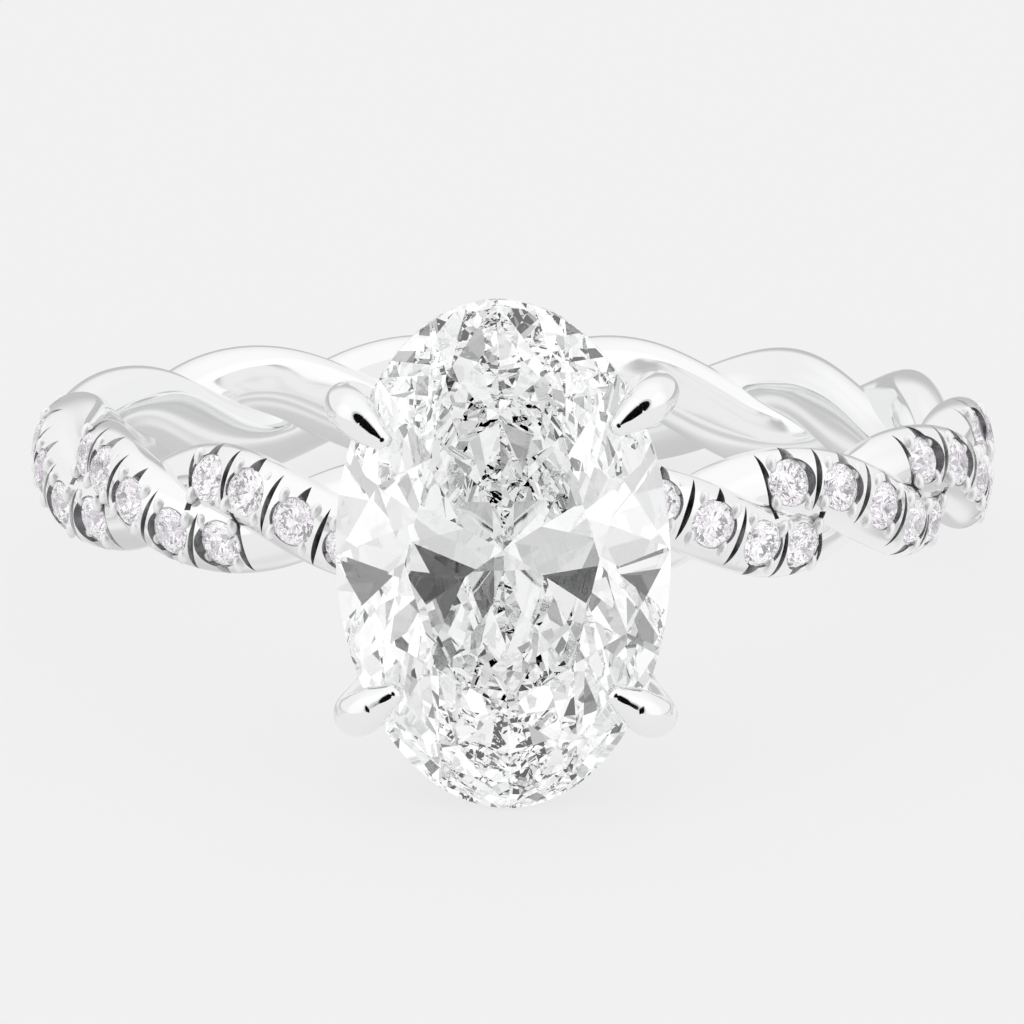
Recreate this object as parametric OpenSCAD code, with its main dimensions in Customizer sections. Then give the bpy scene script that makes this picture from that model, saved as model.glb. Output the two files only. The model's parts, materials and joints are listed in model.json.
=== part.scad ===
// Twisted shank ring with an oval centre stone, lying on its side as it rests on a table.
// Lengths are millimetres. The ring is laid out about its own finger axis, Z, with the
// centre stone towards -Y and angles counted from there towards +X. The whole ring is
// tipped at the end, so that it lies on the stone's lower end and two strands at the back.

/* [Shank] */
// Radius of the finger bore
bore_r = 8.65; // [7.8:0.05:10]
// Distance from the finger bore out to the circle that both strands wind about
twist_out = 0.75; // [0.7:0.01:0.8]
// Thickness of one strand, from the finger outwards
strand_t = 1.27; // [1.2:0.01:1.4]
// Width of one strand, along the finger
strand_w = 1.65; // [1.55:0.01:1.75]
// Depth to which a strand sinks past the middle plane into the other
strand_bite = 0.27; // [0.22:0.01:0.32]
// Swing of a strand in and out from the circle that it winds about
out_swing = 0.32; // [0.25:0.01:0.38]
// Full turns that each strand makes round the ring
twist_turns = 7; // [6:1:8]
// Angle of one upper crest of a strand
crest_angle = -39; // [-45:0.1:-35]
// Width of the plain band that backs the strands at the finger
core_w = 0.9; // [0.7:0.05:1.1]

/* [Pave stones] */
// Diameter of a pave stone
pave_d = 1; // [0.9:0.01:1.05]
// Angle between neighbouring pave stones of one pass
pave_step = 6.85; // [6.7:0.05:7.2]
// Stones on each pass of a strand over the outside
pave_per_pass = 5; // [3:1:5]
// Passes that carry stones
pave_passes = 8; // [4:1:8]
// Lobe at which the stones start, counted from the crest above
first_pass = -2; // [-2:1:0]
// Depth of a pave girdle under the strand's surface
pave_sink = 0.16; // [0.1:0.01:0.2]
// Angle that a pave stone leans away from the middle at a crest
pave_lean = 16; // [8:1:20]
// Half angle of the plain stretch under the head, where the claws stand
plain_half = 15.5; // [15:0.5:17]
// Clearance round every stone in its seat
seat_gap = 0.02; // [0.01:0.005:0.03]

/* [Centre stone] */
// Width of the oval stone, round the ring
stone_w = 7.05; // [6.6:0.05:7.6]
// Length of the oval stone, along the finger
stone_l = 10.8; // [10:0.05:11.5]
// Width of the table
table_w = 4.1; // [3.7:0.05:4.4]
// Height of the crown from the girdle to the table
crown_h = 1.05; // [0.9:0.05:1.2]
// Thickness of the girdle
girdle_h = 0.3; // [0.2:0.05:0.4]
// Depth of the pavilion from the girdle to the culet
pavilion_h = 2.85; // [2.6:0.05:3.1]
// Gap between the culet and the shank
culet_gap = 0.3; // [0.2:0.01:0.6]

/* [Claws and basket] */
// Turn of the oval stone and its basket against the finger axis
head_turn = 1.7; // [0:0.1:3]
// Thickness of a claw at its shoulder
claw_d = 0.94; // [0.84:0.01:1.04]
// Distance of the claws' feet from the middle, round the ring
foot_x = 1.3; // [1.1:0.05:1.5]
// Distance of the claws' feet from the middle, along the finger
foot_z = 0.7; // [0.6:0.02:0.76]
// Thickness of the oval rail that ties the claws together
rail_d = 0.62; // [0.5:0.02:0.7]
// Depth of the rail under the girdle
rail_drop = 2.7; // [2.5:0.05:2.9]

/* [Hidden] */
// One course of a claw over the girdle, in claw thicknesses
claw_rows = [
    // out from the girdle, up from the girdle plane, thickness
    [0.10, -1.90, 0.84],
    [0.29, -1.30, 0.88],
    [0.43, -0.55, 0.96],
    [0.45, 0.02, 1.00],
    [0.27, 0.53, 1.00],
    [-0.13, 0.72, 0.88],
    [-0.38, 0.84, 0.68],
    [-0.62, 0.92, 0.48],
];
// The four claws, each bent over by hand to a place of its own
claws = [
    // on the left, at the lower end, place on the girdle's oval in degrees of its circle,
    // direction across the girdle from the stone's width, shift outwards in claw thicknesses
    [0, 0, 34.2, 34.0, 0.09],
    [1, 0, 33.8, 41.3, -0.07],
    [1, 1, 35.4, 32.8, -0.04],
    [0, 1, 37.7, 35.1, -0.04],
];
// Facet steps of a brilliant cut, an eighth of a turn each
facets = 8;
facet_step = 360 / facets;
// Reach of a star facet down the crown, and of a lower half facet down the pavilion
star_share = 0.5;
lower_share = 0.75;
// Table, crown and pavilion of a pave stone, as shares of its diameter
pave_table = 0.58;
pave_crown = 0.15;
pave_girdle = 0.05;
pave_pavilion = 0.42;
// Girdle edges under half a crown facet, on the centre stone and on a pave stone
stone_edges = 3;
pave_edges = 1;

// Cut of the bore into the strands before it is drilled true
bore_cut = 0.1;
// Slope under which a direction counts as level with the section's middle
level = 0.01;
// A reach past the edge of any section
far = 100;
// Sides of the bore's cylinder before it is made exact
bore_sides = 96;
// Sides of a pave seat before it is made exact, and radius of its floor
seat_sides = 24;
seat_floor_r = 0.05;
// Sides and steps of the claws and of the rail
claw_sides = 10;
claw_steps = 2;
rail_sides = 8;
rail_steps = 32;

half_t = strand_t / 2;
half_w = strand_w / 2;
side_swing = half_w - strand_bite;
twist_r = bore_r + twist_out;
shank_r = twist_r + out_swing + half_t;
lobes = 2 * twist_turns;
lobe_step = 360 / lobes;
ring_steps = 9 * lobes;
section_steps = 20;
stone_out = shank_r + culet_gap + pavilion_h + girdle_h / 2;
foot_up = twist_r - stone_out;
table_l = stone_l * table_w / stone_w;
bore_h = 3 * strand_w;

// The ring tips until the stone's lower end and the strands at the back touch the table
back_off = min([for (k = [0:lobes - 1]) abs(180 - crest_angle - k * lobe_step)]);
stone_low = stone_l / 2 * cos(head_turn);
table_low = table_l / 2 * cos(head_turn);
rest_run = twist_r * cos(back_off) + stone_out - girdle_h / 2;
rest_drop = stone_low - side_swing;
rest_tilt = atan2(rest_drop, rest_run) - asin(half_w / norm([rest_run, rest_drop]));
rest_up = stone_low * cos(rest_tilt) - (stone_out - girdle_h / 2) * sin(rest_tilt);
front_reach = (stone_out + girdle_h / 2 + crown_h) * cos(rest_tilt) + table_low * sin(rest_tilt);
rest_mid = (front_reach - shank_r * cos(rest_tilt)) / 2;

function at(angle, r, z) = [r * sin(angle), -r * cos(angle), z];
function unit(v) = v / norm(v);
// Winding phase of a strand at an angle: 90 at an upper crest, 0 at its outermost
function phase(angle) = 90 - twist_turns * (angle - crest_angle);

// Distance from the middle of the section to the far side of an ellipse in direction s
function ellipse_reach(centre, radii, s) =
    let (u = [cos(s) / radii[0], sin(s) / radii[1]],
         c = [centre[0] / radii[0], centre[1] / radii[1]],
         inside = (u * c) ^ 2 - u * u * (c * c - 1))
    inside < 0 ? 0 : (u * c + sqrt(inside)) / (u * u);
// The same for the plain band behind the strands, which runs past the bore by cut
function core_reach(s, cut) =
    cos(s) > -level ? 0 : min((twist_out + cut) / -cos(s), core_w / 2 / max(abs(sin(s)), level));
// Section of the two strands and the band at an angle, as far as the bore and cut beyond it
function section_reach(angle, s, cut) =
    let (p = phase(angle),
         c = [out_swing * cos(p), side_swing * sin(p)],
         radii = [half_t, half_w * norm([1, side_swing * twist_turns * cos(p) / twist_r])],
         open = cos(s) > -level ? far : (twist_out + cut) / -cos(s))
    min(open, max(ellipse_reach(c, radii, s), ellipse_reach(-c, radii, s), core_reach(s, cut)));

// Faces of a closed band of points, rows by cols, whose rows and columns both run round
function ring_faces(rows, cols) = [
    for (i = [0:rows - 1], j = [0:cols - 1])
        let (a = i * cols + j, b = i * cols + (j + 1) % cols,
             c = ((i + 1) % rows) * cols + (j + 1) % cols, d = ((i + 1) % rows) * cols + j)
        each [[a, b, c], [a, c, d]]];
// Faces of a tube of points, rows by cols, closed at both ends by a fan
function tube_faces(rows, cols) = concat(
    [for (i = [0:rows - 2], j = [0:cols - 1])
        let (a = i * cols + j, b = i * cols + (j + 1) % cols)
        each [[a, b, b + cols], [a, b + cols, a + cols]]],
    [for (j = [1:cols - 2]) [0, j + 1, j]],
    [for (j = [1:cols - 2]) (rows - 1) * cols * [1, 1, 1] + [0, j, j + 1]]);

// Both strands and their band as one body, past the bore by cut
module twisted_band(cut) {
    points = [for (i = [0:ring_steps - 1], j = [0:section_steps - 1])
        let (angle = i * 360 / ring_steps, s = j * 360 / section_steps,
             t = section_reach(angle, s, cut))
        at(angle, twist_r + t * cos(s), t * sin(s))];
    polyhedron(points, ring_faces(ring_steps, section_steps));
}

// Places of the pave stones, pass by pass: each angle round the ring, and the winding phase of
// the strand that carries the stone. Those over the plain stretch are left out.
PLACES = [
    for (pass = [0:pave_passes - 1], i = [0:pave_per_pass - 1])
        let (off = (i - (pave_per_pass - 1) / 2) * pave_step,
             angle = crest_angle + (first_pass + pass + 0.5) * lobe_step + off)
        if (abs(angle) > plain_half) [angle, -twist_turns * off]];
PAVE = [for (i = [1:len(PLACES)]) str("pave_stone_", i < 10 ? "0" : "", i)];

// Puts its children on the outer face of the strand at a place, with Z out of the strand
module on_strand(place) {
    angle = place[0];
    p = place[1];
    lean = pave_lean * sin(p);
    translate(at(angle, twist_r + out_swing * cos(p), side_swing * sin(p)))
        rotate([0, 0, angle])
            rotate([90 - lean, 0, 0])
                translate([0, 0, half_t - pave_sink])
                    children();
}

// A seat drilled for a pave stone: a cone under the girdle's lower edge, a straight hole above
module pave_seat() {
    r = pave_d / 2 + seat_gap;
    edge = pave_d * pave_girdle / 2;
    depth = pave_d * pave_pavilion + seat_gap;
    translate([0, 0, -edge - depth])
        cylinder(h = depth, r1 = seat_floor_r, r2 = r, $fn = seat_sides);
    translate([0, 0, -edge])
        cylinder(h = edge + pave_d, r = r, $fn = seat_sides);
}

module shank() {
    difference() {
        twisted_band(bore_cut);
        cylinder(h = bore_h, r = bore_r, center = true, $fn = bore_sides);
        for (place = PLACES) on_strand(place) pave_seat();
    }
}

// A point between the rows of a table, on a smooth curve through them
function spline(rows, t) =
    let (n = len(rows), i = min(floor(t), n - 2), f = t - i,
         a = rows[max(i - 1, 0)], b = rows[i], c = rows[i + 1], d = rows[min(i + 2, n - 1)])
    b + f * (c - a) / 2 + f ^ 2 * (a - 2.5 * b + 2 * c - d / 2) + f ^ 3 * (d - a + 3 * (b - c)) / 2;

// Point of the girdle's oval at an angle of its circle
function girdle_point(place) = [stone_w / 2 * cos(place), stone_l / 2 * sin(place)];

// One claw from its foot in the shank to its tip over the crown, with Z out of the stone
module claw(place, turn, shift) {
    way = [cos(turn), sin(turn), 0];
    across = [-sin(turn), cos(turn), 0];
    crossing = concat(girdle_point(place), [0]) + shift * claw_d * way;
    steps = [for (i = [0:claw_steps * (len(claw_rows) - 1)]) spline(claw_rows, i / claw_steps)];
    line = concat([[foot_x, foot_z, foot_up]],
                  [for (s = steps) crossing + claw_d * (s[0] * way + [0, 0, s[1]])]);
    thick = concat([claw_rows[0][2]], [for (s = steps) s[2]]) * claw_d;
    points = [for (i = [0:len(line) - 1])
        let (heading = unit(line[min(i + 1, len(line) - 1)] - line[max(i - 1, 0)]),
             u = unit(across - (across * heading) * heading), v = cross(u, heading))
        for (j = [0:claw_sides - 1])
            line[i] + thick[i] / 2 * (cos(j * 360 / claw_sides) * u + sin(j * 360 / claw_sides) * v)];
    difference() {
        polyhedron(points, tube_faces(len(line), claw_sides));
        oval_brilliant(seat_gap);
    }
}

// The oval wire that runs round inside the four claws and ties them together
module rail() {
    share = (-rail_drop - foot_up) / (claw_rows[0][1] * claw_d - foot_up);
    out = claw_rows[0][0] * claw_d;
    mean = [1, 1, 1, 1] / 4 * claws;
    top = girdle_point(mean[2]) + out * [cos(mean[3]), sin(mean[3])];
    claw = (1 - share) * [foot_x, foot_z] + share * top;
    radii = sqrt(2) * claw - rail_d / 2 * [1, 1];
    points = [for (i = [0:rail_steps - 1], j = [0:rail_sides - 1])
        let (p = i * 360 / rail_steps, s = j * 360 / rail_sides,
             out = unit([cos(p) / radii[0], sin(p) / radii[1]]) * rail_d / 2)
        [radii[0] * cos(p) + out[0] * cos(s), radii[1] * sin(p) + out[1] * cos(s),
         rail_d / 2 * sin(s) - rail_drop]];
    polyhedron(points, ring_faces(rail_steps, rail_sides));
}

// Puts its children at the centre stone's girdle, with Z out of the ring and Y along the finger
module at_head() {
    translate([0, -stone_out, 0])
        rotate([90, 0, 0])
            rotate([0, 0, head_turn])
                children();
}

module basket() {
    for (c = claws) mirror([c[0], 0, 0]) mirror([0, c[1], 0]) claw(c[2], c[3], c[4]);
    rail();
}

// A brilliant cut with its girdle across the middle: half widths and half table, then heights.
// Its girdle has 2 * steps edges under each of the eight crown facets.
module brilliant(half, table, crown, girdle, pavilion, steps) {
    function oval(radii, k, z) =
        [radii[0] * cos(k * facet_step), radii[1] * sin(k * facet_step), z];
    share = table[0] / half[0];
    star = share + star_share * (1 - share);
    lower = 1 - lower_share;
    star_z = crown * (1 - star * cos(facet_step / 2)) / (1 - share);
    lower_z = pavilion * (1 - lower * cos(facet_step / 2));
    edges = 2 * facets * steps;
    points = concat(
        [for (k = [0:facets - 1]) oval(table, k, girdle / 2 + crown)],
        [for (k = [0:facets - 1]) oval(half * star, k + 0.5, girdle / 2 + star_z)],
        [for (k = [0:facets - 1]) oval(half * lower, k + 0.5, -girdle / 2 - lower_z)],
        [[0, 0, -girdle / 2 - pavilion]],
        [for (k = [0:edges - 1]) oval(half, k / 2 / steps, girdle / 2)],
        [for (k = [0:edges - 1]) oval(half, k / 2 / steps, -girdle / 2)]);
    // First point of the stars, the lower halves, the culet, and both edges of the girdle
    s = facets;
    l = 2 * facets;
    c = 3 * facets;
    g = c + 1;
    h = g + edges;
    faces = concat(
        [[for (k = [0:facets - 1]) facets - 1 - k]],
        [for (k = [0:facets - 1])
            let (n = (k + 1) % facets, p = (k + facets - 1) % facets, a = 2 * k * steps)
            each [[k, n, s + k], [k, s + k, g + a], [k, g + a, s + p],
                  [c, l + p, h + a], [c, h + a, l + k]]],
        [for (k = [0:facets - 1], i = [0:2 * steps - 1])
            let (a = 2 * k * steps + i, b = (a + 1) % edges)
            each [[s + k, g + b, g + a], [g + a, g + b, h + b], [g + a, h + b, h + a],
                  [l + k, h + a, h + b]]]);
    polyhedron(points, faces);
}

module oval_brilliant(gap) {
    grow = [gap, gap];
    brilliant([stone_w, stone_l] / 2 + grow, [table_w, table_l] / 2 + grow, crown_h,
              girdle_h + 2 * gap, pavilion_h + gap, stone_edges);
}

module ring_mount() {
    color("gainsboro") {
        shank();
        at_head() basket();
    }
}

module centre_stone() {
    color("aliceblue") at_head() oval_brilliant(0);
}

module pave_stone(place) {
    round_r = pave_d / 2 * [1, 1];
    color("lavender") on_strand(place)
        brilliant(round_r, round_r * pave_table, pave_d * pave_crown, pave_d * pave_girdle,
                  pave_d * pave_pavilion, pave_edges);
}

// Lays the ring down on its side, with its lowest points at zero
module lie_down() {
    translate([0, rest_mid, rest_up])
        rotate([-rest_tilt, 0, 0])
            children();
}

lie_down() ring_mount();
lie_down() centre_stone();
for (i = [0:len(PAVE) - 1])
    lie_down() pave_stone(PLACES[i]);
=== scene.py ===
# %% [markdown]
# # A twisted shank ring with an oval stone
# The ring lies on its side. Two strands wind round each other, small stones sit in the front
# passes, and four claws hold a large oval stone. The CAD model is the fixed frame, and every
# piece made here lies on it, so it is loaded before anything else.

import json

import bmesh
import bpy
import numpy as np
from mathutils import Matrix, Vector


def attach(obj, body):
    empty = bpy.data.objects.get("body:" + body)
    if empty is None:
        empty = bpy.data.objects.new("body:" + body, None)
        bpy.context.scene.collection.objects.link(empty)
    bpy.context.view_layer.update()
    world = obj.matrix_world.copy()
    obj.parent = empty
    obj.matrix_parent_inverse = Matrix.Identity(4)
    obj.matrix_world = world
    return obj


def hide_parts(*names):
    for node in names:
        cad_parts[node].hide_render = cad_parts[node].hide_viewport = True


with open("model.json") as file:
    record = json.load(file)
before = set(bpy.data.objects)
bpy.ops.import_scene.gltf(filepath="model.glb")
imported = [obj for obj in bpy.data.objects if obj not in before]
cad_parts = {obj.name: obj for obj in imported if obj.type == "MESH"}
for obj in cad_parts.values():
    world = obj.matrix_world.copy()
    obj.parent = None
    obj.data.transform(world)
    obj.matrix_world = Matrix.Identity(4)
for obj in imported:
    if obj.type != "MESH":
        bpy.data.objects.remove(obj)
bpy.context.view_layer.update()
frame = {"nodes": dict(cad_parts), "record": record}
print("CAD nodes:", len(frame["nodes"]))

# %% [markdown]
# ## One frame for the ring
# A goldsmith thinks of a ring about its finger axis. Here Z is that axis, the oval stone is
# towards -Y, and angles run from the stone towards +X, in millimetres. The record says where
# the finger hole lies, so one turn and one shift carry every point into the part's frame.

# %% The ring's own frame
MM = 0.001
hole = frame["record"]["mounts"][0]
HUB = np.array(hole["pos_m"])
AXIS = np.array(hole["axis"]) / np.linalg.norm(hole["axis"])
BORE = hole["dims"]["r_mm"]
# Rows of the turn are the part's directions of the ring's X, Y and Z
TURN = np.array([[1, 0, 0], [0, AXIS[2], -AXIS[1]], AXIS])


def in_part(points):
    """Ring millimetres to part metres: hub + (x X + y Y + z Z) / 1000."""
    return HUB + np.asarray(points) @ TURN * MM


def at(angle, r, z):
    """The ring point (r sin a, -r cos a, z) at an angle in radians."""
    return np.stack(np.broadcast_arrays(r * np.sin(angle), -r * np.cos(angle), z), -1)


print("finger hole radius in mm:", BORE)

# %% [markdown]
# ## Driving sizes
# The photo gives the number of turns, the thickness of a strand and how far it swings in and
# out. The CAD model is built from the same values, so each surface of this script lies on the
# solid that it dresses. The bore is read from the record, and the rest is named here.

# %% Sizes in millimetres, as in the part's source
TWIST_R = BORE + 0.75
OUT_SWING = 0.32
SIDE_SWING = 0.555
HALF_T = 0.635
HALF_W = 0.825
TURNS = 7
CREST = np.radians(-39)
LOBE = np.pi / TURNS
STONE_OUT = 13.655
STONE = np.array([7.05, 10.8]) / 2
print("middle of the strands at mm:", TWIST_R)

# %% [markdown]
# ## Meshes from grids
# Nearly every surface below is a function of two parameters, on a grid made with numpy. The
# grid becomes a mesh in one go, closed where it runs round. A mesh could be built corner by
# corner too, but whole arrays are shorter to read and much faster.

# %% A mesh and its piece


def new_mesh(name, points, faces, sizes=None):
    """A mesh of ring points, from faces given as one array of corners and their counts."""
    mesh = bpy.data.meshes.new(name)
    faces = np.asarray(faces)
    if sizes is None:
        sizes = np.full(len(faces), faces.shape[1])
    corners = faces.ravel()
    mesh.vertices.add(len(points))
    mesh.vertices.foreach_set("co", in_part(points).astype(np.float32).ravel())
    mesh.loops.add(len(corners))
    mesh.loops.foreach_set("vertex_index", corners.astype(np.int32))
    mesh.polygons.add(len(sizes))
    starts = np.concatenate([[0], np.cumsum(sizes)[:-1]])
    mesh.polygons.foreach_set("loop_start", starts.astype(np.int32))
    mesh.update(calc_edges=True)
    mesh.validate()
    return mesh


def new_piece(name, mesh):
    """An object of that mesh at the origin, which rides on the ring's one body."""
    piece = bpy.data.objects.new(name, mesh)
    bpy.context.scene.collection.objects.link(piece)
    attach(piece, "root")
    return piece


def smooth_by_angle(mesh, degrees):
    """Smooth shading, with each edge sharper than that angle kept sharp."""
    mesh.shade_smooth()
    mesh.set_sharp_from_angle(angle=np.radians(degrees))


print("middle of the finger hole in the part, in m:", in_part(np.zeros(3)).round(5))

# %% [markdown]
# ## Faces of a grid
# The points of a grid need faces between them. Where a shape runs round, such as a wire, its
# last column joins the first, and the remainder of a division does that for all faces at once.
# Cutters are many small tubes of one kind, so one mesh can hold all of them.

# %% Quads and closed tubes


def around(count):
    """Angles of count even steps round a circle: 2 pi i / count."""
    return np.arange(count) * 2 * np.pi / count


def ring_quads(rows, cols, closed=True):
    """Quads of a grid whose columns run round, and whose rows do too where it is closed."""
    i = np.arange(rows if closed else rows - 1)[:, None]
    j = np.arange(cols)[None, :]
    a = i * cols + j
    b = i * cols + (j + 1) % cols
    c = ((i + 1) % rows) * cols + (j + 1) % cols
    d = ((i + 1) % rows) * cols + j
    return np.stack([a, b, c, d], -1).reshape(-1, 4)


def copies(faces, count, step):
    """The same faces for each of count copies that have step points."""
    return (faces[None] + np.arange(count)[:, None, None] * step).reshape(-1, faces.shape[1])


def closed_tubes(name, grids):
    """One mesh of n tubes, from points (n, rows, cols, 3), each with flat ends."""
    n, rows, cols = grids.shape[:3]
    quads = copies(ring_quads(rows, cols, closed=False), n, rows * cols)
    j = np.arange(cols)
    caps = np.concatenate([j[::-1][None], (rows - 1) * cols + j[None]])
    caps = copies(caps, n, rows * cols)
    corners = np.concatenate([quads.ravel(), caps.ravel()])
    sizes = np.concatenate([np.full(len(quads), 4), np.full(len(caps), cols)])
    return new_mesh(name, grids.reshape(-1, 3), corners, sizes)


print("quads of a closed grid of 3 by 4 points:", len(ring_quads(3, 4)))

# %% [markdown]
# ## The section of a strand
# On the real ring two wires are twisted together and rolled into a band, and the inside is
# then turned flush for the finger. A section through the band shows two ellipses that trade
# places as it goes round. Their centres swing with a sine and a cosine, as those of any
# twisted pair do, and a soft edge stands for the polished corner at the bore.

# %% Section of a strand
FLUSH_EDGE = 0.15


def phase(angle):
    """Winding phase of a strand: a quarter turn at an upper crest, zero at its outermost."""
    return np.pi / 2 - TURNS * (angle - CREST)


def strand_shape(p):
    """Centre and radii of a strand's section. The centre is the swings times (cos p, sin p).
    The radii are half the thickness, and half the width times sqrt(1 + slope^2), because a
    section across the ring cuts a slanting strand askew."""
    centre = np.stack([OUT_SWING * np.cos(p), SIDE_SWING * np.sin(p)], -1)
    slope = SIDE_SWING * TURNS * np.cos(p) / TWIST_R
    radii = np.stack([np.full_like(p, HALF_T), HALF_W * np.sqrt(1 + slope ** 2)], -1)
    return centre, radii


def flush(x):
    """Heights over the strands' middle, pressed out to the bore b over a soft edge e, as a
    softplus: b + e log(1 + exp((x - b) / e))."""
    bore = BORE - TWIST_R
    over = (x - bore) / FLUSH_EDGE
    soft = np.log1p(np.exp(np.minimum(over, 30)))
    return bore + FLUSH_EDGE * np.where(over > 30, over, soft)


print("widest a strand gets in mm:", (2 * strand_shape(np.zeros(1))[1][0, 1]).round(2))

# %% [markdown]
# ## The twisted shank
# Two tubes would do for the strands, but the crease between them would then be a rough line
# of crossing faces. So the outline of both is worked out from the middle of the section, in
# directions that turn with the strands, and a line of the grid runs along each crease.

# %% Both strands as one surface
SHANK_ROWS = 70 * 2 * TURNS
SHANK_COLS = 64


def shank_grid(rows, cols):
    """Outline of both strands at each angle. With c the centre over the radii and u a unit
    direction, the outline is (|u.c| + sqrt(1 - c.c + (u.c)^2)) u times the radii."""
    angle = around(rows)
    centre, radii = strand_shape(phase(angle))
    c = centre / radii
    start = np.unwrap(np.arctan2(c[:, 1], c[:, 0]))
    way = start[:, None] + around(cols)
    u = np.stack([np.cos(way), np.sin(way)], -1)
    along = np.abs((u * c[:, None]).sum(-1))
    reach = along + np.sqrt(1 - (c * c).sum(-1)[:, None] + along ** 2)
    flat = reach[..., None] * u * radii[:, None]
    return at(angle[:, None], TWIST_R + flush(flat[..., 0]), flat[..., 1])


grid = shank_grid(SHANK_ROWS, SHANK_COLS)
quads = ring_quads(SHANK_ROWS, SHANK_COLS)
shank = new_piece("twisted_shank", new_mesh("twisted_shank", grid.reshape(-1, 3), quads))
print("shank quads:", len(quads))

# %% [markdown]
# ## Where the small stones sit
# A setter lays the stones out along the middle of each pass, up to five between one crossing
# and the next, and leans them with the round of the strand. The place of each stone and its
# three directions are worked out once. The seats, the cuts and the beads all use them, so
# they always belong together.

# %% Places of the small stones
PAVE_STEP = np.radians(6.85)
PAVE_LEAN = np.radians(16)
PAVE_SINK = 0.16
PASSES = np.arange(-2, 6)
OFFS = np.arange(-2, 3) * PAVE_STEP
HEAD_HALF = np.radians(15.5)


def strand_frames(passes, offs, skip):
    """Places on the strands' outer face: the point on the strand's centre line, and the unit
    vectors out of the face, along the strand and across it, for each pass and offset. The
    way along the strand is the centre line's slope, less its part out of the face."""
    passes, offs = np.meshgrid(passes, offs, indexing="ij")
    angle = (CREST + (passes + 0.5) * LOBE + offs).ravel()
    p = -TURNS * offs.ravel()
    kept = np.abs(angle) > skip
    angle, p, which = angle[kept], p[kept], passes.ravel()[kept]
    spot = at(angle, TWIST_R + OUT_SWING * np.cos(p), SIDE_SWING * np.sin(p))
    lean = PAVE_LEAN * np.sin(p)
    radial = at(angle, 1, 0)
    tangent = at(angle + np.pi / 2, 1, 0)
    up = np.array([0, 0, 1.0])
    out = radial * np.cos(lean)[:, None] + up * np.sin(lean)[:, None]
    run = (radial * (TURNS * OUT_SWING * np.sin(p))[:, None]
           + tangent * (TWIST_R + OUT_SWING * np.cos(p))[:, None]
           - up * (TURNS * SIDE_SWING * np.cos(p))[:, None])
    run -= out * (run * out).sum(-1)[:, None]
    run /= np.linalg.norm(run, axis=-1)[:, None]
    across = np.cross(out, run)
    return spot, out, run, across, p, which


spot, out, run, across = strand_frames(PASSES, OFFS, HEAD_HALF)[:4]
seat_at = spot + out * (HALF_T - PAVE_SINK)
print("small stones:", len(seat_at))

# %% [markdown]
# ## Seats for the small stones
# A drill with a cone at its end makes each seat. The cutter is the drill's own outline turned
# about its axis, and one mesh holds all of them, because a Boolean takes many cutters at once
# as fast as one. The cone under a stone stays bright. The straight wall beside it gets a dark
# colour, painted shade for the dark line round each stone in the photo, so the two get
# different finishes.

# %% Seat cutters
# Radius and height, from the drill's point to above the strand
SEAT = np.array([[0.05, -0.465], [0.528, -0.025], [0.528, 1.0]])
SEAT_SIDES = 40


def placed(profile, spots, axes):
    """Copies of profile points (k, 3), one at each spot, along three axes of its own."""
    base = np.stack(axes, 1)
    return spots[:, None] + np.einsum("kc,ncd->nkd", profile, base)


def turned(profile, sides):
    """A profile of (radius, height) rows turned about the third axis."""
    s = around(sides)
    r = profile[:, :1]
    return np.stack([r * np.cos(s), r * np.sin(s), profile[:, 1:] + 0 * s], -1)


seats = placed(turned(SEAT, SEAT_SIDES).reshape(-1, 3), seat_at, (run, across, out))
seats = seats.reshape(len(seat_at), len(SEAT), SEAT_SIDES, 3)
seat_mesh = closed_tubes("seat_cutter", seats)
# The wall faces take the gap finish, whose dark colour is painted shade round each stone
wall = np.tile(np.repeat([0, 1], SEAT_SIDES), len(seats))
finish_and_shade_of_face = np.concatenate([wall, np.zeros(2 * len(seats))]).astype(np.int32)
seat_mesh.polygons.foreach_set("material_index", finish_and_shade_of_face)
print("seat cutters:", len(seats))

# %% [markdown]
# ## Saw cuts between and beside the stones
# The setter saws a groove across the strand between each two stones and files a notch out to
# the strand's edge beside each stone, which leaves four corners of metal for the beads. Both
# are wedges here. A wedge runs free over the outer edge and stops inwards before the other
# strand, so the cuts never mark the strand that passes behind. Cuts of neighbouring passes
# are two meshes, because within one mesh the cutters must not meet.

# %% Groove and notch cutters
# The outermost grooves stand a trace nearer, clear of those of the next pass
GROOVE_OFFS = np.arange(-2.5, 3) * PAVE_STEP * np.array([0.985, 1, 1, 1, 1, 0.985])
GROOVE_DEPTH = 0.28
GROOVE_ANGLE = 13
NOTCH_DEPTH = 0.42
NOTCH_ANGLE = 22
NOTCH_INNER = -0.34
CUT_REACH = 0.95
CUT_ABOVE = 0.3
CUT_GAP = 0.03
# The saw cuts reach this much nearer to the head than the stones do, in radians
CUT_SLACK = 0.02


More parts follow.
